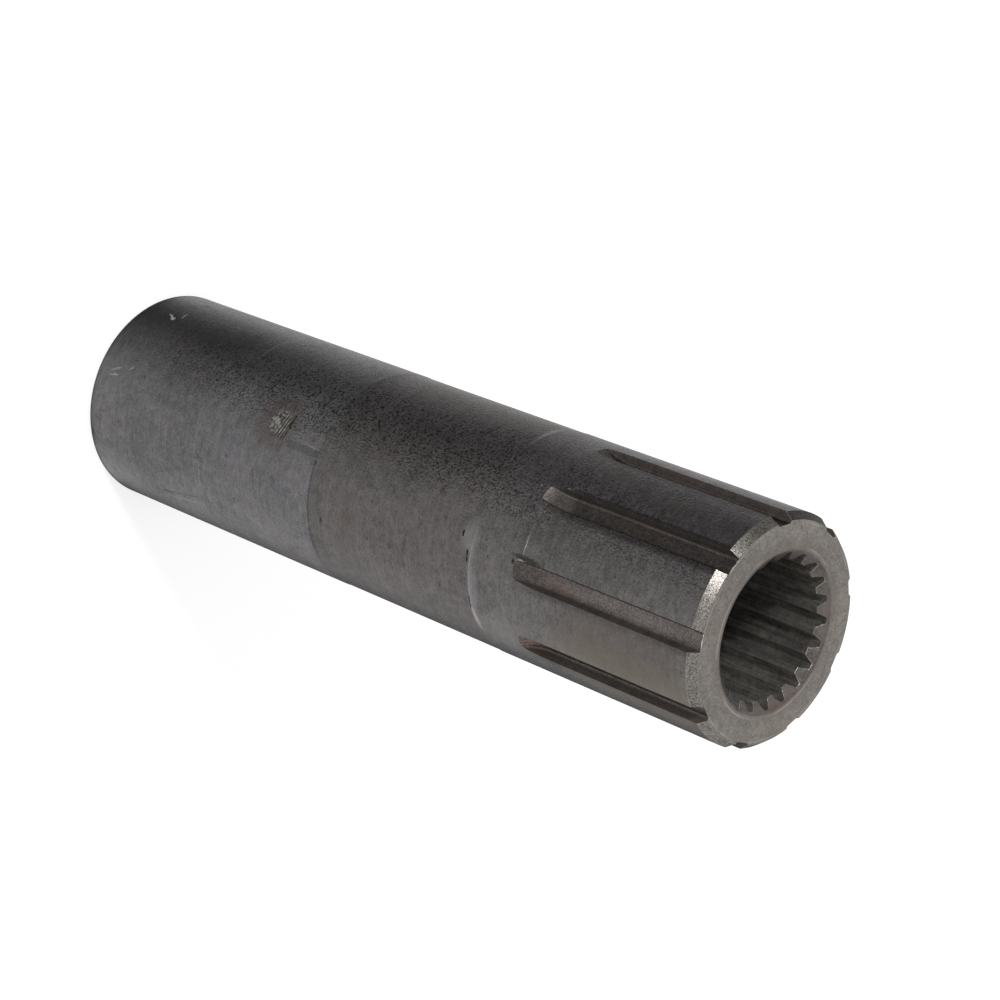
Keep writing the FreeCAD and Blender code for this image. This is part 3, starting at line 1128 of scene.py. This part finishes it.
@dataclass(frozen=True)
class TurnedFinish(SteelFinish):
    """The outside, whose lands and waist differ a little in colour, with the marks of its use."""

    waist_foot: float = 82.8 * MM
    waist_top: float = 136.3 * MM
    rear_tint: Colour = (1.24, 1.27, 1.31)
    waist_tint: Colour = (1.05, 1.025, 1.015)
    front_tint: Colour = (1.13, 1.12, 1.11)
    rib_light: Colour = (0.33, 0.32, 0.295)
    rib_dark: Colour = (0.058, 0.053, 0.047)
    pepper_size: float = 0.58 * MM
    # how strongly one side of every groove is darkened with painted shade
    groove_side: float = 0.38
    jaw: JawPrint = JAW

    def dress(self, coat: Coat, colour: Socket) -> Socket:
        """Tints the lands and the waist, paints shade at the back rim and along one side of every groove,
        then lays the marks and the jaw's print over them.
        """
        wiring = coat.wiring
        up = coat.where["Up"]
        soft = 0.25 * MM
        rear_over = wiring.ease(up, self.waist_foot - soft, self.waist_foot + soft)
        waist_over = wiring.ease(up, self.waist_top - soft, self.waist_top + soft)
        tint = wiring.mix(rear_over, self.rear_tint, self.waist_tint)
        tint = wiring.mix(waist_over, tint, self.front_tint)
        colour = wiring.mix(1.0, colour, tint, "MULTIPLY")
        # painted shade: the lowest millimetre, where the sleeve stands on the floor, darkens towards the back
        # face
        rim = wiring.ease(up, 1.0 * MM, 0.3 * MM, 0.0, 0.65)
        colour = wiring.mix(rim, colour, Tint.DARK.value)
        colour = self.sprinkle(coat, colour)
        # painted shade along one side of every groove
        colour = coat.add_painted_shade(colour, self.groove_side)
        colour = coat.lay(self.marks, colour)
        return self.print_jaw(coat, colour)

    def sprinkle(self, coat: Coat, colour: Socket) -> Socket:
        """Draws the wiped steel's fine streaks and flecks, and peppers it with fine pits: faint ones all
        over, and along two bands that mirror the dark card a dense painted speckle of that dark reflection.
        """
        wiring = coat.wiring
        drawn = wiring.stretch(coat.place, (0.25, 0.25, 1.0))
        streaks = wiring.ease(wiring.noise(drawn, 1700.0, 3.0, 0.65), 0.32, 0.68, 0.90, 1.10)
        colour = coat.shade(colour, streaks, 1.0)
        short = wiring.stretch(coat.place, (0.45, 0.45, 1.0))
        flecks = wiring.ease(wiring.noise(short, 800.0, 2.0, 0.6), 0.64, 0.74, 0.0, 0.40)
        colour = wiring.mix(flecks, colour, Tint.DARK.value)
        # faint pits all over, and painted speckle that is dense along the bands that mirror the dark card
        wander = coat.wander(60.0, 3.0, 12 * MM)
        share = wiring.maths("MAXIMUM", *(coat.mask(patch, wander) for patch in PITS_AND_PAINTED_SPECKLE))
        share = wiring.maths("ADD", share, 0.10)
        fine = wiring.noise(coat.place, 1 / self.pepper_size, 2.0, 0.7)
        return coat.shade(colour, wiring.ease(fine, 0.34, 0.54, 0.22, 1.20), share)

    def print_jaw(self, coat: Coat, colour: Socket) -> Socket:
        """Colours the scraped lines of the jaw's print and darkens its upper edge."""
        wiring = coat.wiring
        jaw = self.jaw
        inside = SurfaceMark(Tint.BARE, jaw.angle, jaw.height / MM, jaw.half_round / MM, jaw.half_up / MM,
                             lean=jaw.tilt, squareness=3.0, softness=0.5)
        edge = SurfaceMark(Tint.DARK, jaw.angle, (jaw.height + 0.95 * jaw.half_up) / MM,
                           jaw.half_round / MM, 0.45, lean=jaw.tilt, strength=0.85, squareness=3.0,
                           softness=0.7)
        wander = coat.wander(900.0, 2.0, 1.8 * MM)
        middle = math.radians(jaw.angle) * CAD_BOX[1].x
        ribs = wiring.use(coat.effects.ribs, Place=coat.place,
                          Around=wiring.maths("SUBTRACT", coat.where["Around"], middle),
                          Up=wiring.maths("SUBTRACT", coat.where["Up"], jaw.height),
                          Tilt=math.radians(jaw.tilt), Pitch=jaw.pitch)
        scraped = wiring.mix(ribs.outputs["Light"], self.rib_dark, self.rib_light)
        colour = wiring.mix(coat.mask(inside, wander), colour, scraped)
        return wiring.mix(coat.mask(edge, wander), colour, edge.tint.value)


@dataclass(frozen=True)
class FacedFinish(SteelFinish):
    """A face cut across the axis, with faint rings round the bore and a redder rim."""

    ring_pitch: float = 0.5 * MM
    ring_strength: float = 0.34
    rim: Colour = (0.160, 0.134, 0.122)
    rim_radius: float = 21.0 * MM
    scraped_radii: tuple[float, ...] = (19.2 * MM, 24.4 * MM)

    def dress(self, coat: Coat, colour: Socket) -> Socket:
        """Adds the rim's tint, the fine rings and the few plainer ones that were scraped."""
        wiring = coat.wiring
        radius = coat.where["Radius"]
        clouds = wiring.noise(coat.place, 110.0, 3.0, 0.6)
        reach = wiring.maths("MULTIPLY_ADD", clouds, 7 * MM, radius)
        rim = wiring.ease(reach, self.rim_radius + 4.5 * MM, self.rim_radius, 0.0, 0.6)
        colour = wiring.mix(rim, colour, self.rim)
        spread = wiring.put("ShaderNodeCombineXYZ", {"X": radius})
        rings = wiring.noise(spread.outputs[0], 1 / self.ring_pitch, 2.0, 0.6)
        patches = wiring.ease(wiring.noise(coat.place, 80.0, 2.0), 0.42, 0.62)
        rings = wiring.ease(rings, 0.55, 0.72)
        for ring in self.scraped_radii:
            off_ring = wiring.maths("ABSOLUTE", wiring.maths("SUBTRACT", radius, ring))
            rings = wiring.maths("MAXIMUM", rings, wiring.ease(off_ring, 0.30 * MM, 0.08 * MM))
        share = wiring.maths("MULTIPLY", rings, patches)
        return wiring.mix(wiring.maths("MULTIPLY", share, self.ring_strength), colour, Tint.BARE.value)


@dataclass(frozen=True)
class DrawnFinish(SteelFinish):
    """A surface with lines that run along the sleeve, as a broach or a milling cutter leaves them."""

    streak: Colour = (0.10, 0.09, 0.085)
    streak_size: float = 0.7 * MM
    streak_strength: float = 0.5
    # how strongly one side of every groove is darkened with painted shade
    painted_shade: float = 0.0

    def dress(self, coat: Coat, colour: Socket) -> Socket:
        """Adds the long streaks, the marks and the painted shade along one side of every groove."""
        wiring = coat.wiring
        drawn = wiring.stretch(coat.place, (1.0, 1.0, 0.05))
        streaks = wiring.ease(wiring.noise(drawn, 1 / self.streak_size, 3.0, 0.6), 0.42, 0.66)
        colour = wiring.mix(wiring.maths("MULTIPLY", streaks, self.streak_strength), colour, self.streak)
        return coat.add_painted_shade(coat.lay(self.marks, colour), self.painted_shade)


FINISHES = {
    Zone.TURNED: TurnedFinish(
        name="turned steel, dull", dark=(0.076, 0.0725, 0.0725), light=(0.138, 0.131, 0.131),
        stain=(0.098, 0.085, 0.080), stain_cover=0.32, roughness=(0.21, 0.28),
        grain_size=0.50 * MM, grain_height=0.20 * MM, line_height=0.002 * MM, marks=MARKS),
    Zone.FACED: FacedFinish(
        name="faced steel", dark=(0.165, 0.153, 0.140), light=(0.265, 0.246, 0.223),
        stain=(0.17, 0.135, 0.118), stain_cover=0.32, roughness=(0.34, 0.44),
        grain_size=0.60 * MM, grain_height=0.10 * MM, speckle=0.26),
    Zone.NOSE_CHAMFER: SteelFinish(
        name="nose chamfer", dark=(0.14, 0.130, 0.119), light=(0.238, 0.221, 0.201),
        stain=(0.15, 0.12, 0.105), stain_cover=0.30, roughness=(0.32, 0.40),
        grain_size=0.28 * MM, grain_height=0.045 * MM, speckle=0.90, speckle_size=0.38 * MM,
        marks=CHAMFER_MARKS),
    Zone.BORE_MOUTH: SteelFinish(
        name="bore mouth", dark=(0.082, 0.072, 0.066), light=(0.152, 0.134, 0.126),
        stain=(0.12, 0.085, 0.075), stain_cover=0.34, roughness=(0.34, 0.44),
        grain_size=0.55 * MM, grain_height=0.12 * MM, metallic=0.90),
    Zone.MILLED: DrawnFinish(
        name="milled steel", dark=(0.082, 0.072, 0.067), light=(0.155, 0.137, 0.129),
        stain=(0.100, 0.070, 0.058), stain_cover=0.36, roughness=(0.30, 0.40),
        grain_size=0.28 * MM, grain_height=0.03 * MM, streak=(0.085, 0.075, 0.070), streak_strength=0.35,
        painted_shade=0.50, speckle=0.75, speckle_size=0.46 * MM, marks=GROOVE_MARKS),
    # The groove flanks, darker and less metallic than the milled floors.
    Zone.DARKENED_FLANKS: DrawnFinish(
        name="darkened groove flanks", dark=(0.038, 0.032, 0.028), light=(0.080, 0.067, 0.060),
        stain=(0.060, 0.043, 0.035), stain_cover=0.36, roughness=(0.46, 0.56),
        grain_size=0.50 * MM, grain_height=0.12 * MM, streak=(0.060, 0.050, 0.045), streak_strength=0.35,
        metallic=0.5),
    Zone.BROACHED: DrawnFinish(
        name="broached steel", dark=(0.190, 0.183, 0.169), light=(0.415, 0.402, 0.373),
        stain=(0.11, 0.055, 0.042), stain_cover=0.34, roughness=(0.32, 0.42),
        grain_size=0.50 * MM, grain_height=0.06 * MM, streak=(0.060, 0.055, 0.050), streak_strength=0.5,
        metallic=0.80),
    Zone.WORN_EDGE: SteelFinish(
        name="worn edges", dark=(0.30, 0.28, 0.265), light=(0.66, 0.63, 0.60),
        stain=(0.15, 0.13, 0.12), stain_cover=0.47, roughness=(0.26, 0.36),
        grain_size=0.45 * MM, grain_height=0.06 * MM, metallic=0.82),
}


# The studio


@dataclass
class Studio:
    """A white floor and sky, one small lamp by the camera, and a dark card that the steel reflects."""

    floor_radius: float = 6.0
    floor_gap: float = 0.02 * MM
    floor_seen: float = 0.63
    floor_mirrored: float = 0.75
    floor_in_bore: float = 0.40
    lamp_direction: Vector = field(default_factory=lambda: Vector((0.506, -0.647, 0.571)))
    lamp_distance: float = 1.6
    lamp_size: float = 0.22
    lamp_power: float = 12.0
    card_outer: float = 1.2
    card_lift: float = 0.3 * MM
    card_height: float = 1.1
    wall_from: float = -172.0
    wall_to: float = 0.0
    view_angle: float = -17.45
    card_levels: tuple[tuple[float, float], ...] = (
        (-180.0, 0.65), (-160.0, 0.88), (-146.0, 1.17), (-130.0, 1.12), (-113.0, 0.60), (-96.0, 0.33),
        (-79.0, 0.25), (-62.0, 0.28), (-44.0, 0.42), (-26.0, 0.60), (-8.0, 0.80), (10.0, 0.94), (38.0, 1.01),
        (73.0, 1.11), (97.0, 1.24), (122.0, 1.46), (137.0, 1.02), (152.0, 0.24), (165.0, 0.12), (180.0, 0.12))

    def build_sky(self) -> None:
        """Gives the world plain white light."""
        world = bpy.data.worlds.new("soft white")
        bpy.context.scene.world = world
        world.use_nodes = True
        world.node_tree.nodes.clear()
        wiring = Wiring(world.node_tree)
        sky = wiring.put("ShaderNodeBackground", {"Color": (1.0, 1.0, 1.0, 1.0), "Strength": 1.0})
        wiring.put("ShaderNodeOutputWorld", {"Surface": sky.outputs[0]})

    def build_floor(self, footprint: float) -> None:
        """Lays the floor, which is white to the eye and in reflections but keeps the sleeve's shadow.

        It is open under the sleeve's own metal, and clear to the eye from below, so that the underside
        shows. Inside the bore it is a little bright, so that the bore's lower end isn't black.

        Args:
            footprint: the sleeve's radius.
        """
        bpy.ops.object.select_all(action="DESELECT")
        bpy.ops.mesh.primitive_circle_add(vertices=64, radius=self.floor_radius, fill_type="NGON",
                                          location=(0, 0, -self.floor_gap))
        floor = bpy.context.active_object
        floor.name = "floor"
        bpy.ops.object.transform_apply(location=True, rotation=True, scale=True)
        material, wiring = new_material("pale floor")
        path = wiring.put("ShaderNodeLightPath").outputs
        seen = wiring.maths("MAXIMUM", path["Is Camera Ray"], path["Is Transmission Ray"])
        place = wiring.put("ShaderNodeTexCoord").outputs["Object"]
        middle = wiring.put("ShaderNodeVectorMath", {0: place}, operation="LENGTH").outputs["Value"]
        around = wiring.ease(middle, footprint * 0.97, footprint, 0.0, self.floor_seen)
        # painted shadow: in reflections the floor's glow fades out over the few millimetres round the
        # sleeve's foot
        mirror = wiring.ease(middle, footprint, footprint * 1.08, 0.0, self.floor_mirrored)
        inside = wiring.ease(middle, footprint * 0.60, footprint * 0.70, self.floor_in_bore, 0.0)
        strength = wiring.maths("MULTIPLY_ADD", seen, around,
                                wiring.maths("MULTIPLY_ADD", path["Is Glossy Ray"], mirror, inside))
        shade = wiring.put("ShaderNodeBsdfDiffuse", {"Color": (0.4, 0.4, 0.4, 1.0)})
        glow = wiring.put("ShaderNodeEmission", {"Color": (1.0, 1.0, 1.0, 1.0), "Strength": strength})
        both = wiring.put("ShaderNodeAddShader", {0: shade.outputs[0], 1: glow.outputs[0]})
        under = wiring.maths("MULTIPLY", wiring.maths("GREATER_THAN", middle, footprint * 0.74),
                             wiring.maths("LESS_THAN", middle, footprint * 0.98))
        backside = wiring.put("ShaderNodeNewGeometry").outputs["Backfacing"]
        under = wiring.maths("MAXIMUM", under, wiring.maths("MULTIPLY", backside, path["Is Camera Ray"]))
        clear = wiring.put("ShaderNodeBsdfTransparent")
        whole = wiring.put("ShaderNodeMixShader", {0: under, 1: both.outputs[0], 2: clear.outputs[0]})
        wiring.put("ShaderNodeOutputMaterial", {"Surface": whole.outputs[0]})
        floor.data.materials.append(material)

    def build_lamp(self, target: Vector) -> None:
        """Hangs the small lamp."""
        data = bpy.data.lights.new("lamp by the camera", "AREA")
        data.shape = "DISK"
        data.size = self.lamp_size
        data.energy = self.lamp_power
        lamp = bpy.data.objects.new("lamp by the camera", data)
        direction = self.lamp_direction.normalized()
        lamp.location = target + direction * self.lamp_distance
        lamp.rotation_mode = "QUATERNION"
        lamp.rotation_quaternion = direction.to_track_quat("Z", "Y")
        bpy.context.scene.collection.objects.link(lamp)

    def mirror_angle(self, wiring: Wiring, place: Socket, footprint: float) -> Socket:
        """Tells how far round from the view's direction the sleeve's side mirrors a point of the card.

        A round side mirrors at twice the angle from the view at which it is met, but from its surface
        and not from its axis, so the angle is neared in two rounds.

        Args:
            wiring: the card material's nodes.
            place: the point.
            footprint: the sleeve's radius.

        Returns:
            The angle in radians, from -pi to pi.
        """
        parts = wiring.put("ShaderNodeSeparateXYZ", {0: place}).outputs
        turn = wiring.maths("ARCTAN2", parts["Y"], parts["X"])
        turn = wiring.maths("SUBTRACT", turn, math.radians(self.view_angle))
        turn = wiring.maths("WRAP", turn, math.pi, -math.pi)
        flat = wiring.put("ShaderNodeCombineXYZ", {"X": parts["X"], "Y": parts["Y"]}).outputs[0]
        away = wiring.put("ShaderNodeVectorMath", {0: flat}, operation="LENGTH").outputs["Value"]
        ratio = wiring.maths("DIVIDE", footprint, away)
        angle = wiring.maths("DIVIDE", turn, wiring.maths("SUBTRACT", 2.0, ratio))
        for _ in range(2):
            offset = wiring.maths("ARCSINE", wiring.maths("MULTIPLY", wiring.maths("SINE", angle), ratio))
            angle = wiring.maths("MULTIPLY", wiring.maths("ADD", turn, offset), 0.5)
        return wiring.maths("MULTIPLY", angle, 2.0)

    def card_material(self, footprint: float) -> bpy.types.Material:
        """Grades the card's grey by the angle at which the sleeve mirrors it, and fades its wall out."""
        material, wiring = new_material("graded card")
        place = wiring.put("ShaderNodeTexCoord").outputs["Object"]
        angle = self.mirror_angle(wiring, place, footprint)
        share = wiring.maths("DIVIDE", wiring.maths("ADD", angle, math.pi), math.tau, clamp=True)
        ramp = wiring.put("ShaderNodeValToRGB", {"Fac": share})
        elements = ramp.color_ramp.elements
        elements.remove(elements[1])
        for index, (degrees, level) in enumerate(self.card_levels):
            position = degrees / 360 + 0.5
            element = elements[0] if index == 0 else elements.new(position)
            element.position = position
            element.color = (level, level, level, 1.0)
        height = wiring.put("ShaderNodeSeparateXYZ", {0: place}).outputs["Z"]
        top = wiring.ease(height, self.card_height * 0.7, self.card_height)
        colour = wiring.mix(top, ramp.outputs["Color"], (1.0, 1.0, 1.0))
        glow = wiring.put("ShaderNodeEmission", {"Color": colour})
        wiring.put("ShaderNodeOutputMaterial", {"Surface": glow.outputs[0]})
        return material

    def build_card(self, footprint: float) -> None:
        """Lays the graded card round the sleeve, with a wall at one side. Only reflections show it."""
        bpy.ops.object.select_all(action="DESELECT")
        inner = footprint + 0.1 * MM
        bpy.ops.mesh.primitive_circle_add(vertices=180, radius=inner, fill_type="NOTHING",
                                          location=(0, 0, self.card_lift))
        card = bpy.context.active_object
        card.name = "graded card"
        bpy.ops.object.transform_apply(location=True, rotation=True, scale=True)
        open_mesh(card)
        bpy.ops.mesh.select_all(action="SELECT")
        bpy.ops.mesh.extrude_region_move()
        grow = self.card_outer / inner
        bpy.ops.transform.resize(value=(grow, grow, 1), center_override=(0, 0, self.card_lift))
        bpy.ops.mesh.extrude_region_move(TRANSFORM_OT_translate={"value": (0, 0, self.card_height)})

        def open_side(face: bmesh.types.BMFace) -> bool:
            """True for the wall's faces where no wall is wanted."""
            centre = face.calc_center_median()
            angle = math.degrees(math.atan2(centre.y, centre.x))
            return centre.z > 2 * MM and not self.wall_from < angle < self.wall_to

        pick(card, "faces", open_side)
        bpy.ops.mesh.delete(type="FACE")
        close_mesh()
        card.data.materials.append(self.card_material(footprint))
        card.visible_camera = False
        card.visible_diffuse = False
        card.visible_shadow = False
        card.visible_transmission = False

    def build(self, target: Vector, footprint: float) -> None:
        """Sets up the whole studio round the sleeve."""
        self.build_sky()
        self.build_floor(footprint)
        self.build_lamp(target)
        self.build_card(footprint)


@dataclass
class PhotoCamera:
    """The camera at the photograph's viewpoint, rolled as the photograph shows the sleeve."""

    place: Vector = field(default_factory=lambda: Vector((0.47340, -0.14885, 0.54625)))
    right: Vector = field(default_factory=lambda: Vector((-0.68832, -0.16720, 0.70588)))
    up: Vector = field(default_factory=lambda: Vector((-0.04534, -0.96126, -0.27190)))
    focal_length: float = 102.15

    def build(self) -> None:
        """Places the camera and makes it the scene's own."""
        data = bpy.data.cameras.new("photo camera")
        data.lens = self.focal_length
        data.sensor_width = 36.0
        data.clip_start = 0.01
        data.clip_end = 50.0
        camera = bpy.data.objects.new("photo camera", data)
        back = self.right.cross(self.up).normalized()
        side = self.up.cross(back).normalized()
        turn = Matrix((side, back.cross(side), back)).transposed()
        camera.matrix_world = Matrix.Translation(self.place) @ turn.to_4x4()
        bpy.context.scene.collection.objects.link(camera)
        bpy.context.scene.camera = camera


def main() -> None:
    """Builds the sleeve, its finishes, the studio and the camera."""
    low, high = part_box(NODE)
    blank = TurnedBlank(length=high.z, outer_radius=(high.x - low.x) / 2)
    body = SleeveBody(blank, OuterGrooves(blank), InnerSpline(blank), Wear(blank.outer_radius))
    sleeve = body.build()
    effects = surface_effects(blank.outer_radius, body.grooves)
    for zone in Zone:
        sleeve.data.materials[zone.value] = FINISHES[zone].build(effects)
    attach(sleeve, "root")
    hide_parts(NODE)
    Studio().build(Vector((0, 0, blank.length / 2)), blank.outer_radius)
    PhotoCamera().build()
    bpy.context.scene.view_settings.view_transform = "Standard"


if __name__ == "__main__":
    logging.basicConfig(level=logging.INFO, format="%(message)s")
    main()
